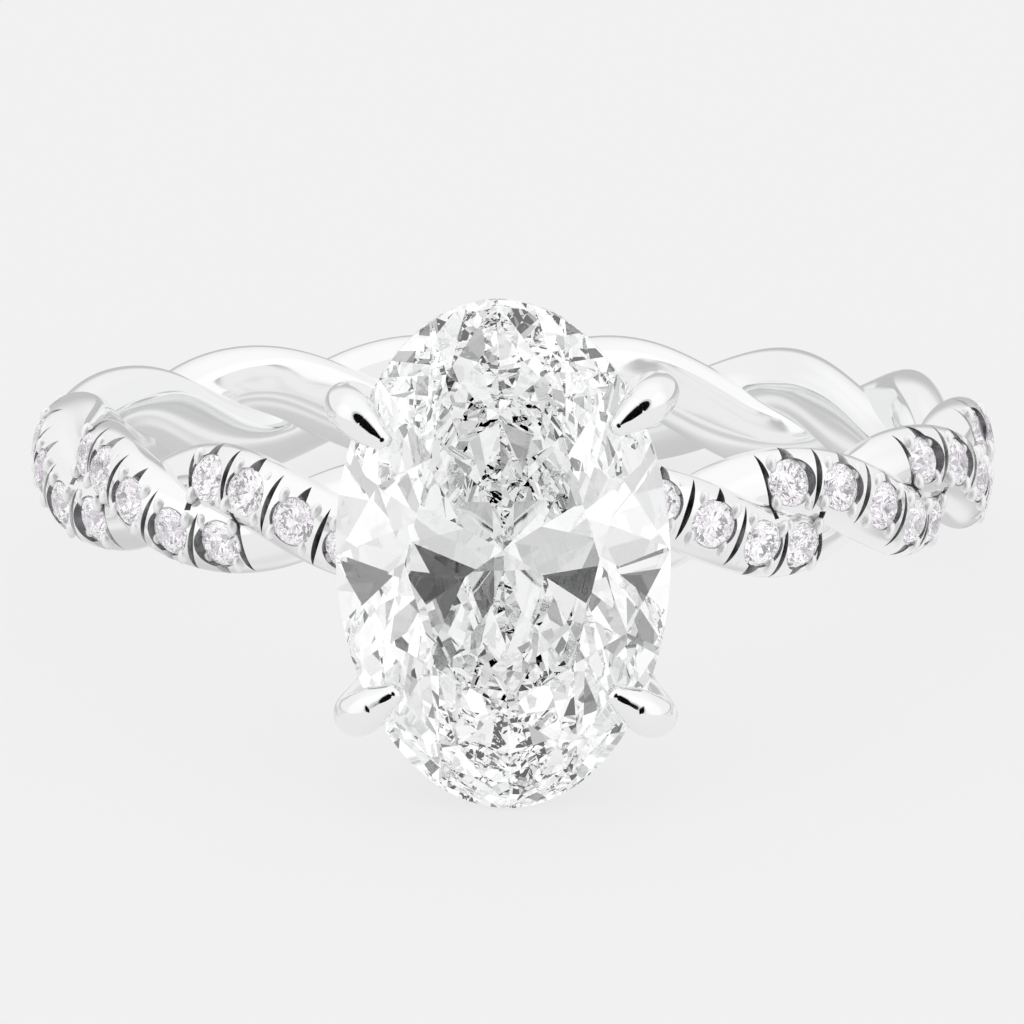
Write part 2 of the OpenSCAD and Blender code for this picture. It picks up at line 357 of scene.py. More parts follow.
def groove_cutters(name, half, offs, depth, half_angle, inward=None):
    """V bars across the strand: a point at the floor that opens by tan(half angle) times the
    height. Outwards a bar runs free; inwards it ends where the other strand starts, or at a
    given distance from the middle."""
    spots, out, run, across, p, number = strand_frames(PASSES, offs, HEAD_HALF - CUT_SLACK)
    keep = number % 2 == half
    spots, out, run, across, p = (a[keep] for a in (spots, out, run, across, p))
    centre, radii = strand_shape(p)
    c = np.abs(centre / radii)
    size = np.linalg.norm(c, axis=-1)
    inner = np.abs(centre[:, 1]) + np.sqrt(1 - size ** 2) * c[:, 0] / size * radii[:, 1] - CUT_GAP
    if inward is not None:
        inner = np.full_like(inner, inward)
    side = np.sign(np.sin(p)) + (np.sin(p) == 0)
    facing = np.sign(across[:, 2]) * side
    high = np.where(facing > 0, CUT_REACH, inner)
    low = np.where(facing > 0, inner, CUT_REACH)
    floor = HALF_T - depth
    top = HALF_T + CUT_ABOVE
    wide = (top - floor) * np.tan(np.radians(half_angle))
    v = np.array([[0.0, floor], [wide, top], [-wide, top]])
    ends = np.stack([-low, high], -1)
    grid = np.zeros((len(spots), 2, 3, 3))
    grid[..., 0] = v[None, None, :, 0]
    grid[..., 1] = ends[:, :, None]
    grid[..., 2] = v[None, None, :, 1]
    base = np.stack([run, across, out], 1)
    points = spots[:, None, None] + np.einsum("nrkc,ncd->nrkd", grid, base)
    return closed_tubes(name, points)


groove_meshes = [groove_cutters(f"groove_{half}", half, GROOVE_OFFS, GROOVE_DEPTH, GROOVE_ANGLE)
                 for half in (0, 1)]
notch_meshes = [groove_cutters(f"notch_{half}", half, OFFS, NOTCH_DEPTH, NOTCH_ANGLE, NOTCH_INNER)
                for half in (0, 1)]
print("faces of the saw cuts:", sum(len(mesh.polygons) for mesh in [*groove_meshes, *notch_meshes]))

# %% [markdown]
# ## Five finishes of one metal, two with painted shade
# All the metal is the same white gold. The outside is polished, and a tool leaves its cuts
# rougher; their colour also carries dark patches of painted shade. The gap beside a stone is
# painted dark as shade. The finishes are only named here, since the cutters carry them into
# the shank. Their look is worked out further down.

# %% Name the finishes


def material(name):
    """A new node material and its Principled shader."""
    made = bpy.data.materials.new(name)
    made.use_nodes = True
    return made, made.node_tree.nodes["Principled BSDF"]


polish, polish_shader = material("polished_white_gold")
cut_shade, cut_shade_shader = material("cut_white_gold_painted_shade")
seat, seat_shader = material("seat_white_gold")
gap_shade, gap_shade_shader = material("gap_white_gold_painted_shade")
burnish, burnish_shader = material("burnished_white_gold")
print("finishes:", [made.name for made in (polish, cut_shade, seat, gap_shade, burnish)])

# %% [markdown]
# ## Cut the shank
# A Boolean takes the cutters out of the strands, just as the drill and the saw do. It is
# applied at once, so the mesh that is kept has crisp, true edges, and each new face gets the
# finish of the cutter that made it.

# %% Seats and saw cuts in the strands
# Edges sharper than this many degrees stay sharp
SHANK_CREASE = 28


def face_outwards(mesh):
    """Turns every face of a closed mesh outwards."""
    bm = bmesh.new()
    bm.from_mesh(mesh)
    bmesh.ops.recalc_face_normals(bm, faces=bm.faces)
    bm.to_mesh(mesh)
    bm.free()


def cutter(mesh):
    """An object for a Boolean, with outward faces, which apply_booleans removes after the cut."""
    face_outwards(mesh)
    tool = bpy.data.objects.new(mesh.name, mesh)
    bpy.context.scene.collection.objects.link(tool)
    return tool


def apply_booleans(piece, tools, operation="DIFFERENCE"):
    """Cuts or joins the tools with the piece, then keeps the result as the piece's mesh."""
    for tool in tools:
        step = piece.modifiers.new(tool.name, "BOOLEAN")
        step.operation = operation
        step.solver = "MANIFOLD"
        step.object = tool
        step.material_mode = "TRANSFER"
    depsgraph = bpy.context.evaluated_depsgraph_get()
    done = bpy.data.meshes.new_from_object(piece.evaluated_get(depsgraph))
    piece.modifiers.clear()
    piece.data = done
    for tool in tools:
        bpy.data.objects.remove(tool)


shank.data.materials.append(polish)
seat_mesh.materials.append(seat)
# The seat walls get the gap finish: painted shade round each stone
seat_mesh.materials.append(gap_shade)
# The saw cuts take the cut finish, whose dark patches are painted shade
for mesh in [*groove_meshes, *notch_meshes]:
    mesh.materials.append(cut_shade)
face_outwards(shank.data)
apply_booleans(shank, [cutter(mesh) for mesh in [seat_mesh, *groove_meshes, *notch_meshes]])
smooth_by_angle(shank.data, SHANK_CREASE)
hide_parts("ring_mount")
print("shank faces after cutting:", len(shank.data.polygons))

# %% [markdown]
# ## Beads
# The corners of metal between the cuts are pushed over the edge of each stone with a hollow
# punch, which rounds them into beads. Four small stretched balls for each stone stand for
# them, all in one mesh, because they are alike and far too small for more faces.

# %% Setting beads
BEAD_RADII = np.array([0.115, 0.20, 0.12])
BEAD_X = 0.405
BEAD_Y = 0.42
BEAD_UP = 0.02
BEAD_ROWS = 11
BEAD_COLS = 16
BEAD_CREASE = 60


def ball_grid(rows, cols):
    """Unit ball as latitude and longitude rings, its poles pinched to 1/1000."""
    lat = np.linspace(-np.pi / 2, np.pi / 2, rows)
    lon = around(cols)
    r = np.maximum(np.cos(lat), 0.001)[:, None]
    return np.stack([r * np.cos(lon), r * np.sin(lon), np.sin(lat)[:, None] + 0 * lon], -1)


corners_x, corners_y = np.meshgrid([-BEAD_X, BEAD_X], [-BEAD_Y, BEAD_Y])
corner = np.stack([corners_x.ravel(), corners_y.ravel(), np.full(4, BEAD_UP)], -1)
shape = corner[:, None, None] + BEAD_RADII * ball_grid(BEAD_ROWS, BEAD_COLS)
grids = placed(shape.reshape(-1, 3), seat_at, (run, across, out))
grids = grids.reshape(-1, BEAD_ROWS, BEAD_COLS, 3)
bead_mesh = closed_tubes("setting_beads", grids)
face_outwards(bead_mesh)
beads = new_piece("setting_beads", bead_mesh)
bead_mesh.materials.append(burnish)
smooth_by_angle(bead_mesh, BEAD_CREASE)
print("beads:", len(grids))

# %% [markdown]
# ## The line of a claw
# The four claws grow out of the shank, spread outwards, and bend over the stone's edge. They
# are bent by hand, so each has its own place and direction, read from the photo. The row of
# numbers below is the line that a claw follows, and a spline through it keeps the bend
# smooth, which a chain of straight rods would not.

# %% Sizes of the claws
CLAW_D = 0.94
# Distance outwards and height over the girdle, and thickness, as shares of the diameter
CLAW_ROWS = np.array([
    [0.10, -1.90, 0.84],
    [0.29, -1.30, 0.88],
    [0.43, -0.55, 0.96],
    [0.45, 0.02, 1.00],
    [0.27, 0.53, 1.00],
    [-0.13, 0.72, 0.88],
    [-0.38, 0.84, 0.68],
    [-0.62, 0.92, 0.48],
])
# Side, end, place on the girdle's oval, direction across it, shift outwards, as in the CAD
CLAWS = np.array([
    [1, 1, 34.2, 34.0, 0.09],
    [-1, 1, 33.8, 41.3, -0.07],
    [-1, -1, 35.4, 32.8, -0.04],
    [1, -1, 37.7, 35.1, -0.04],
])
HEAD_TURN = np.radians(1.7)
FOOT = np.array([1.3, 0.7, TWIST_R - STONE_OUT])


def spline(rows, t):
    """Catmull-Rom: b + f(c-a)/2 + f^2(a-2.5b+2c-d/2) + f^3(d-a+3(b-c))/2."""
    n = len(rows)
    i = np.minimum(t.astype(int), n - 2)
    f = (t - i)[:, None]
    a = rows[np.maximum(i - 1, 0)]
    b = rows[i]
    c = rows[i + 1]
    d = rows[np.minimum(i + 2, n - 1)]
    square = f ** 2 * (a - 2.5 * b + 2 * c - d / 2)
    cube = f ** 3 * (d - a + 3 * (b - c)) / 2
    return b + f * (c - a) / 2 + square + cube


def head_to_ring(points):
    """Stone frame, Z out of the ring and Y along the finger, to the ring frame: a turn by the
    head's angle about Z, then (x, y, z) becomes (x, -stone_out - z, y)."""
    c, s = np.cos(HEAD_TURN), np.sin(HEAD_TURN)
    x = c * points[..., 0] - s * points[..., 1]
    y = s * points[..., 0] + c * points[..., 1]
    return np.stack([x, -STONE_OUT - points[..., 2], y], -1)


def girdle_point(place):
    """(half width cos t, half length sin t) of the stone's girdle."""
    return np.array([STONE[0] * np.cos(place), STONE[1] * np.sin(place), 0])


print("rows of a claw's line:", len(CLAW_ROWS))

# %% [markdown]
# ## Claws
# Each claw is a round profile carried along its line, thick at the bend and thin at the tip,
# and a small dome closes the tip. The last rings shrink with the cosine while they move on
# with the sine, which makes that dome a part of the same grid.

# %% The claws' surfaces
CLAW_STEPS = 64
CLAW_SIDES = 36
LEG_STEPS = 14
DOME_STEPS = 9
DOME_LENGTH = 0.8
DOME_POLE = 0.02


def claw_grid(row, steps, sides):
    """Rings of half the thickness round a claw's line: line + r (cos s u + sin s v), with u
    and v square to the line's heading, and a rounded end."""
    place, turn = np.radians(row[2:4])
    way = np.array([np.cos(turn), np.sin(turn), 0])
    side = np.array([-np.sin(turn), np.cos(turn), 0])
    crossing = girdle_point(place) + row[4] * CLAW_D * way
    rows = spline(CLAW_ROWS, np.linspace(0, len(CLAW_ROWS) - 1, steps))
    line = crossing + CLAW_D * (rows[:, :1] * way + rows[:, 1:2] * np.array([0, 0, 1.0]))
    thick = rows[:, 2] * CLAW_D / 2
    share = np.linspace(0, 1, LEG_STEPS, endpoint=False)[:, None]
    line = np.concatenate([FOOT + share * (line[0] - FOOT), line])
    thick = np.concatenate([np.full(LEG_STEPS, thick[0]), thick])
    heading = np.gradient(line, axis=0)
    heading /= np.linalg.norm(heading, axis=-1)[:, None]
    dome = np.linspace(0, np.pi / 2, DOME_STEPS + 1)[1:]
    tip = line[-1] + heading[-1] * thick[-1] * DOME_LENGTH * np.sin(dome)[:, None]
    line = np.concatenate([line, tip])
    thick = np.concatenate([thick, thick[-1] * np.maximum(np.cos(dome), DOME_POLE)])
    heading = np.concatenate([heading, np.repeat(heading[-1:], DOME_STEPS, 0)])
    u = side - (heading @ side)[:, None] * heading
    u /= np.linalg.norm(u, axis=-1)[:, None]
    v = np.cross(u, heading)
    s = around(sides)
    ring = np.cos(s)[None, :, None] * u[:, None] + np.sin(s)[None, :, None] * v[:, None]
    grid = line[:, None] + thick[:, None, None] * ring
    return head_to_ring(grid * np.array([row[0], row[1], 1]))


def tube_mesh(name, points):
    """A tube from a grid of rows by cols points, with a point in the middle of each end."""
    rows, cols = points.shape[:2]
    ends = np.stack([points[0].mean(0), points[-1].mean(0)])
    cloud = np.concatenate([points.reshape(-1, 3), ends])
    j = np.arange(cols)
    n = (j + 1) % cols
    foot = np.stack([n, j, np.full(cols, rows * cols)], -1)
    last = (rows - 1) * cols
    head = np.stack([last + j, last + n, np.full(cols, rows * cols + 1)], -1)
    quads = ring_quads(rows, cols, closed=False)
    corners = np.concatenate([quads.ravel(), foot.ravel(), head.ravel()])
    sizes = np.concatenate([np.full(len(quads), 4), np.full(2 * cols, 3)])
    return new_mesh(name, cloud, corners, sizes)


claw_meshes = [tube_mesh(f"claw_{i}", claw_grid(row, CLAW_STEPS, CLAW_SIDES))
               for i, row in enumerate(CLAWS)]
print("claws:", len(claw_meshes))

# %% [markdown]
# ## The rail under the stone
# An oval ring of wire ties the claws together under the stone and keeps them from spreading.
# It is a circle carried along an oval that passes just inside the claws. The claws are then
# joined to it with a Boolean, as they are soldered on the real ring, so no face is left
# inside the metal.

# %% Rail and basket
RAIL_R = 0.31
RAIL_Z = -2.7
RAIL_ROWS = 160
RAIL_COLS = 28


def rail_grid(rows, cols):
    """A ring of wire along an oval: (a cos p, b sin p) plus r (n cos s, sin s), with n square
    to the oval. The half sizes a and b are where the claws pass at the rail's height."""
    place, turn = np.radians(CLAWS[:, 2:4].mean(0))
    way = np.array([np.cos(turn), np.sin(turn)])
    top = girdle_point(place)[:2] + CLAW_ROWS[0, 0] * CLAW_D * way
    share = (RAIL_Z - FOOT[2]) / (CLAW_ROWS[0, 1] * CLAW_D - FOOT[2])
    radii = np.sqrt(2) * ((1 - share) * FOOT[:2] + share * top) - RAIL_R
    p = around(rows)[:, None]
    s = around(cols)
    out = np.stack([np.cos(p) / radii[0], np.sin(p) / radii[1]], -1)
    out = out / np.linalg.norm(out, axis=-1, keepdims=True) * RAIL_R
    x = radii[0] * np.cos(p) + out[..., 0] * np.cos(s)
    y = radii[1] * np.sin(p) + out[..., 1] * np.cos(s)
    return head_to_ring(np.stack([x, y, RAIL_R * np.sin(s) + RAIL_Z + 0 * p], -1))


rail = rail_grid(RAIL_ROWS, RAIL_COLS)
basket_mesh = new_mesh("claw_basket", rail.reshape(-1, 3), ring_quads(RAIL_ROWS, RAIL_COLS))
basket_mesh.materials.append(polish)
face_outwards(basket_mesh)
basket = new_piece("claw_basket", basket_mesh)
for mesh in claw_meshes:
    mesh.materials.append(polish)
apply_booleans(basket, [cutter(mesh) for mesh in claw_meshes], "UNION")
print("basket faces:", len(basket.data.polygons))

# %% [markdown]
# ## The facets of the oval stone
# A brilliant has a table, stars, mains and girdle facets above its edge, and mains and lower
# facets below. Each is a plane through three known corners. The pavilion mains at the two
# ends are left out: the photo shows a broken, bright pattern there and not the two long dark
# shapes that such facets give.

# %% Planes of the facets
TABLE_SHARE = 4.1 / 7.05
CROWN_H = 1.05
GIRDLE_H = 0.3
PAVILION_H = 2.85
STAR_SHARE = 0.5
LOWER_SHARE = 0.25
HALF_STEP = np.cos(np.pi / 8)


def facet_planes(grow):
    """Three points of each facet plane. Corners lie at (r cos 45k, r sin 45k) times the half
    sizes: table corners, star tips on the main facets, girdle corners, lower tips, culet."""
    half = STONE + grow
    girdle = GIRDLE_H / 2 + grow
    pavilion = PAVILION_H + grow
    star = TABLE_SHARE + STAR_SHARE * (1 - TABLE_SHARE)
    table_z = girdle + CROWN_H
    star_z = girdle + CROWN_H * (1 - star * HALF_STEP) / (1 - TABLE_SHARE)
    lower_z = -girdle - pavilion * (1 - LOWER_SHARE * HALF_STEP)

    def corner(r, k, z):
        t = np.asarray(k) * np.pi / 4
        return np.stack([half[0] * r * np.cos(t), half[1] * r * np.sin(t), z + 0 * t], -1)

    k = np.arange(8)
    table = corner(TABLE_SHARE, k, table_z)
    table_next = corner(TABLE_SHARE, k + 1, table_z)
    tip = corner(star, k + 0.5, star_z)
    tip_before = corner(star, k - 0.5, star_z)
    low = corner(LOWER_SHARE, k + 0.5, lower_z)
    low_before = corner(LOWER_SHARE, k - 0.5, lower_z)
    mains = np.stack([corner(0, k, -girdle - pavilion), low, low_before], 1)
    planes = [
        table[None, [0, 3, 5]],
        np.stack([table, tip, tip_before], 1),
        np.stack([table, table_next, tip], 1),
        np.stack([tip, corner(1, k, girdle), corner(1, k + 0.5, girdle)], 1),
        np.stack([tip, corner(1, k + 1, girdle), corner(1, k + 0.5, girdle)], 1),
        mains[k % 4 != 2],
        np.stack([low, corner(1, k, -girdle), corner(1, k + 0.5, -girdle)], 1),
        np.stack([low, corner(1, k + 1, -girdle), corner(1, k + 0.5, -girdle)], 1),
    ]
    return np.concatenate(planes)


print("facet planes:", len(facet_planes(0.0)))

# %% [markdown]
# ## Cut the oval stone
# A cutter grinds one flat facet after another against a wheel. The same is done here: a blank
# with the stone's outline is cut by one plane for each facet, so every facet is truly flat.
# A hull of corner points would be quicker, but it splits facets into triangles that are never
# quite in one plane, and a stone shows that at once.

# %% The oval stone
BLANK_SIDES = 96
BLANK_LOW = -3.3
BLANK_HIGH = 1.5


def cut_stone(name, grow=0.0):
    """A straight oval blank, cut by every facet plane in turn and capped after each cut."""
    t = around(BLANK_SIDES)
    half = STONE + grow
    rim = np.stack([half[0] * np.cos(t), half[1] * np.sin(t), 0 * t], -1)
    blank = np.stack([rim + np.array([0, 0, BLANK_LOW]), rim + np.array([0, 0, BLANK_HIGH])])
    planes = facet_planes(grow)
    normal = np.cross(planes[:, 1] - planes[:, 0], planes[:, 2] - planes[:, 0])
    normal *= np.sign((normal * planes[:, 0]).sum(-1))[:, None]
    mesh = closed_tubes(name, head_to_ring(blank)[None])
    zero = in_part(head_to_ring(np.zeros(3)))
    spots = in_part(head_to_ring(planes[:, 0]))
    outs = in_part(head_to_ring(normal)) - zero
    outs /= np.linalg.norm(outs, axis=-1)[:, None]
    bm = bmesh.new()
    bm.from_mesh(mesh)
    for spot, way in zip(spots.tolist(), outs.tolist()):
        geometry = [*bm.verts, *bm.edges, *bm.faces]
        cut_done = bmesh.ops.bisect_plane(bm, geom=geometry, plane_co=spot, plane_no=way,
                                          clear_outer=True, dist=1e-9)
        rim_edges = [e for e in cut_done["geom_cut"] if isinstance(e, bmesh.types.BMEdge)]
        if rim_edges:
            bmesh.ops.edgenet_fill(bm, edges=[e for e in rim_edges if e.is_boundary])
    bmesh.ops.recalc_face_normals(bm, faces=bm.faces)
    bm.to_mesh(mesh)
    bm.free()
    mesh.shade_flat()
    return mesh


oval_mesh = cut_stone("oval_stone")
oval = new_piece("oval_stone", oval_mesh)
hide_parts("centre_stone")
print("oval stone facets:", len(oval_mesh.polygons))

# %% [markdown]
# ## The seat of the oval stone
# Each claw is notched where the stone's edge rests in it. A slightly larger copy of the stone
# cuts those notches, so stone and claw fit by construction, with the CAD's clearance.

# %% Notches in the claws
STONE_GAP = 0.02
BASKET_CREASE = 35

seat_block = cut_stone("stone_seat", STONE_GAP)
# The notches take the cut finish, with its dark patches of painted shade
seat_block.materials.append(cut_shade)
apply_booleans(basket, [cutter(seat_block)])
smooth_by_angle(basket.data, BASKET_CREASE)
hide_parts("ring_mount")
print("basket faces after the notches:", len(basket.data.polygons))

# %% [markdown]
# ## Parts of a finish
# Every finish and light below is a small net of nodes. These helpers each add one node and
# return its output, so that a finish reads like a sum. Patterns lie on Object coordinates,
# which on these pieces are metres, so a scale of 2000 makes a grain of half a millimetre.

# %% Helpers for nodes


def feed(links, value, socket):
    """Links a node's output to a socket, or sets the socket to a plain number."""
    if isinstance(value, bpy.types.NodeSocket):
        links.new(value, socket)
    else:
        socket.default_value = value


def noise(nodes, links, coordinates, scale, detail, roughness):
    """A noise field on the coordinates, as a value between 0 and 1."""
    field = nodes.new("ShaderNodeTexNoise")
    field.inputs["Scale"].default_value = scale
    field.inputs["Detail"].default_value = detail
    field.inputs["Roughness"].default_value = roughness
    links.new(coordinates, field.inputs["Vector"])
    return field.outputs["Fac"]


def between(nodes, links, value, ends, start=(0.0, 1.0), smooth=False):
    """Maps the start range onto the two ends, held there outside it, and eased if smooth."""
    step = nodes.new("ShaderNodeMapRange")
    step.interpolation_type = "SMOOTHSTEP" if smooth else "LINEAR"
    for name, number in zip(("From Min", "From Max", "To Min", "To Max"), (*start, *ends)):
        step.inputs[name].default_value = number
    links.new(value, step.inputs["Value"])
    return step.outputs["Result"]


def tint(nodes, links, value, dark, light):
    """Mixes two colours by a value: dark + value (light - dark)."""
    step = nodes.new("ShaderNodeMix")
    step.data_type = "RGBA"
    step.inputs["A"].default_value = (*dark, 1)
    step.inputs["B"].default_value = (*light, 1)
    links.new(value, step.inputs["Factor"])
    return step.outputs["Result"]


def choose(nodes, links, share, a, b):
    """Mixes two values by a share: a + share (b - a)."""
    step = nodes.new("ShaderNodeMix")
    step.data_type = "FLOAT"
    links.new(share, step.inputs["Factor"])
    feed(links, a, step.inputs["A"])
    feed(links, b, step.inputs["B"])
    return step.outputs["Result"]


def levels(nodes, links, value, stops):
    """Grey levels at places between 0 and 1, with straight lines between them."""
    step = nodes.new("ShaderNodeValToRGB")
    elements = step.color_ramp.elements
    while len(elements) < len(stops):
        elements.new(0.5)
    for element, (place, level) in zip(elements, stops):
        element.position = place
        element.color = (level, level, level, 1)
    links.new(value, step.inputs["Fac"])
    return step.outputs["Color"]


print("finishes to work out:", len((polish, cut_shade, seat, gap_shade, burnish)))

# %% [markdown]
# ## White gold
# White gold is plated with rhodium and polished to a mirror, so its colour is nearly white
# and what it mirrors does the rest. A plain mirror looks like plastic, so a faint cloud in
# the colour, an uneven roughness and very low waves are added, as a polishing wheel leaves
# them. The cuts get strong waves and dark patches of painted shade instead, the gap beside
# a stone a dark colour that is painted shade, and the beads a satin finish, because a bright
# ball would mirror one black dot of the lens.

# %% Finish of each kind of metal
POLISH_GRAIN = 2200
WAVE_HEIGHT = 0.00002


def metal(made, shader, dark, light, rough, bump, patch=260):
    """Metal with a cloud in its colour, an uneven polish and fine polishing waves."""
    nodes = made.node_tree.nodes
    links = made.node_tree.links
    where = nodes.new("ShaderNodeTexCoord").outputs["Object"]
    shader.inputs["Metallic"].default_value = 1.0
    cloud = noise(nodes, links, where, patch, 3, 0.5)
    links.new(tint(nodes, links, cloud, dark, light), shader.inputs["Base Color"])
    fine = noise(nodes, links, where, POLISH_GRAIN, 4, 0.6)
    links.new(between(nodes, links, fine, rough), shader.inputs["Roughness"])
    wave = nodes.new("ShaderNodeBump")
    wave.inputs["Strength"].default_value = bump
    wave.inputs["Distance"].default_value = WAVE_HEIGHT
    links.new(fine, wave.inputs["Height"])
    links.new(wave.outputs["Normal"], shader.inputs["Normal"])
    print(made.name, "roughness", rough)


metal(polish, polish_shader, (0.90, 0.91, 0.905), (0.95, 0.955, 0.95), (0.04, 0.09), 0.03)
# The cut finish runs from near black to white: its dark patches are painted shade in the grooves
# and notches
metal(cut_shade, cut_shade_shader, (0.10, 0.105, 0.10), (0.98, 0.98, 0.98), (0.12, 0.34), 1.0, 2600)
metal(burnish, burnish_shader, (0.93, 0.935, 0.93), (0.97, 0.97, 0.97), (0.46, 0.58), 0.1)
# The gap finish is dark: painted shade in the gap round each stone
metal(gap_shade, gap_shade_shader, (0.05, 0.05, 0.055), (0.40, 0.40, 0.40), (0.20, 0.40), 0.8, 2400)
metal(seat, seat_shader, (0.93, 0.93, 0.935), (0.97, 0.97, 0.97), (0.10, 0.22), 0.2)

# %% [markdown]
# ## Diamonds
# Diamond bends light more than any other clear stone, with an index of 2.417, and its flat
# facets do all the drawing. The normal is the facet's own, because a smoothed one makes a
# stone look melted. Small flat fields of colour are painted into the stones as flashes: in the
# oval they are hardly seen, and in the small stones they are the faint violet and grey flashes
# of the photo, painted into their colour.

# %% Finish of the stones
DIAMOND_INDEX = 2.417


def diamond(name, dark, light, scale):
    """Clear stone whose colour steps between two tints in small cells of 1 / scale metres, as
    painted flashes.
    """
    made, shader = material(name)
    nodes = made.node_tree.nodes
    links = made.node_tree.links
    shader.inputs["Roughness"].default_value = 0.0
    shader.inputs["IOR"].default_value = DIAMOND_INDEX
    shader.inputs["Transmission Weight"].default_value = 1.0
    where = nodes.new("ShaderNodeTexCoord").outputs["Object"]
    flats = nodes.new("ShaderNodeTexVoronoi")
    flats.inputs["Scale"].default_value = scale
    links.new(where, flats.inputs["Vector"])
    share = nodes.new("ShaderNodeSeparateColor")
    links.new(flats.outputs["Color"], share.inputs["Color"])
    colour = tint(nodes, links, share.outputs["Green"], dark, light)
    links.new(colour, shader.inputs["Base Color"])
    facet = nodes.new("ShaderNodeNewGeometry").outputs["True Normal"]
    links.new(facet, shader.inputs["Normal"])
    return made, shader


oval_finish = diamond("oval_diamond", (0.985, 0.99, 1.0), (1, 1, 1), 400)[0]
oval_mesh.materials.append(oval_finish)
# The small stones' violet and grey cells are painted flashes, not their own colour
pave_finish_with_flashes, pave_shader = diamond("pave_diamond", (0.84, 0.79, 0.86), (1, 1, 1), 2600)
# A trace of glow fills the darkest facets, which are under a pixel wide in the picture
pave_shader.inputs["Emission Color"].default_value = (1.0, 0.985, 1.0, 1)
pave_shader.inputs["Emission Strength"].default_value = 0.03

pave_nodes = [node for name, node in frame["nodes"].items() if name.startswith("pave_stone")]
for node in pave_nodes:
    node.data.materials.clear()
    node.data.materials.append(pave_finish_with_flashes)
print("small stones with their finish:", len(pave_nodes))

# %% [markdown]
# ## The table
# The photo shows an even, almost white ground with hardly any shadow. A large sheet of paper
# is the plain way to make one. The stones don't look through to it, because a floor seen
# through every facet would wash out their pattern.

# %% Floor
FLOOR_HALF = 1.0
FLOOR_PAPER = 0.87

floor_mesh = bpy.data.meshes.new("floor")
corners = [(x * FLOOR_HALF, y * FLOOR_HALF, 0) for x, y in ((-1, -1), (1, -1), (1, 1), (-1, 1))]
floor_mesh.from_pydata(corners, [], [(0, 1, 2, 3)])
floor = bpy.data.objects.new("floor", floor_mesh)
bpy.context.scene.collection.objects.link(floor)
floor.visible_transmission = False
paper, paper_shader = material("pale_paper")
floor_mesh.materials.append(paper)
paper_shader.inputs["Base Color"].default_value = (FLOOR_PAPER, FLOOR_PAPER, FLOOR_PAPER, 1)
paper_shader.inputs["Roughness"].default_value = 0.9
paper_shader.inputs["Specular IOR Level"].default_value = 0.0
print("floor half size in m:", FLOOR_HALF)

# %% [markdown]
# ## The tone of the table
# Paper that is lit from all sides keeps one tone. So the sheet mixes a little plain paper,
# which takes the soft shadow, with a glow. What the metal mirrors of it is darker behind the
# ring and clouded inside it, which draws the strands' lower outlines and streaks their
# insides. A second floor would do the same, but a light path needs only one.

# %% Glow of the floor, and what metal mirrors of it
FLOOR_GLOW = 0.885
FLOOR_GLOW_SHARE = 0.85
# Places along Y, in metres, between which the floor darkens and the clouds begin
BEHIND_FROM = (0.006, 0.045)
BEHIND_LEVELS = (1.0, 0.64)
INSIDE_FROM = (-0.009, -0.004)
CLOUD_GRAIN = 170
CLOUD_EDGES = (0.40, 0.60)
CLOUD_LEVELS = (0.72, 1.04)

nodes = paper.node_tree.nodes
links = paper.node_tree.links
where = nodes.new("ShaderNodeTexCoord").outputs["Object"]
split = nodes.new("ShaderNodeSeparateXYZ")
links.new(where, split.inputs["Vector"])
behind = between(nodes, links, split.outputs["Y"], BEHIND_LEVELS, BEHIND_FROM, smooth=True)
clouds = noise(nodes, links, where, CLOUD_GRAIN, 1.0, 0.5)
clouds = between(nodes, links, clouds, CLOUD_LEVELS, CLOUD_EDGES, smooth=True)
inside = between(nodes, links, split.outputs["Y"], (0.0, 1.0), INSIDE_FROM)
mirrored = nodes.new("ShaderNodeMath")
mirrored.operation = "MULTIPLY"
links.new(behind, mirrored.inputs[0])
links.new(choose(nodes, links, inside, 1.0, clouds), mirrored.inputs[1])
mirror_ray = nodes.new("ShaderNodeLightPath").outputs["Is Glossy Ray"]
glow = nodes.new("ShaderNodeEmission")
glow.inputs["Color"].default_value = (FLOOR_GLOW, FLOOR_GLOW, FLOOR_GLOW, 1)
links.new(choose(nodes, links, mirror_ray, 1.0, mirrored.outputs["Value"]), glow.inputs["Strength"])
mix = nodes.new("ShaderNodeMixShader")
mix.inputs["Fac"].default_value = FLOOR_GLOW_SHARE
links.new(paper_shader.outputs["BSDF"], mix.inputs[1])
links.new(glow.outputs["Emission"], mix.inputs[2])
links.new(mix.outputs["Shader"], nodes["Material Output"].inputs["Surface"])
print("nodes of the floor:", len(nodes))

# %% [markdown]
# ## Studio light
# Jewellery is lit inside a white tent, so light comes from everywhere and the metal mirrors
# white. The whole sky glows, a little more overhead and at both sides, where soft boxes
# stand, and a little less in front and behind, where the tent is open. Lamps would need many
# more samples for the same soft picture.

# %% Sky
SKY_LEVEL = 0.93
# Direction, full inside and gone outside these angles in degrees, and what it adds
SKY_AREAS = [
    ((0.0, -0.15, 1.0), 20, 66, 0.10),
    ((-1.0, -0.5, 0.45), 14, 40, 0.12),
    ((1.0, -0.5, 0.45), 14, 40, 0.12),
    ((0.0, 1.0, 0.05), 10, 30, -0.36),
    ((0.0, -1.0, 0.33), 18, 36, -0.12),
]
world = bpy.data.worlds.new("studio")
bpy.context.scene.world = world
world.use_nodes = True
nodes = world.node_tree.nodes
links = world.node_tree.links
sky = nodes["Background"]
way = nodes.new("ShaderNodeTexCoord").outputs["Generated"]


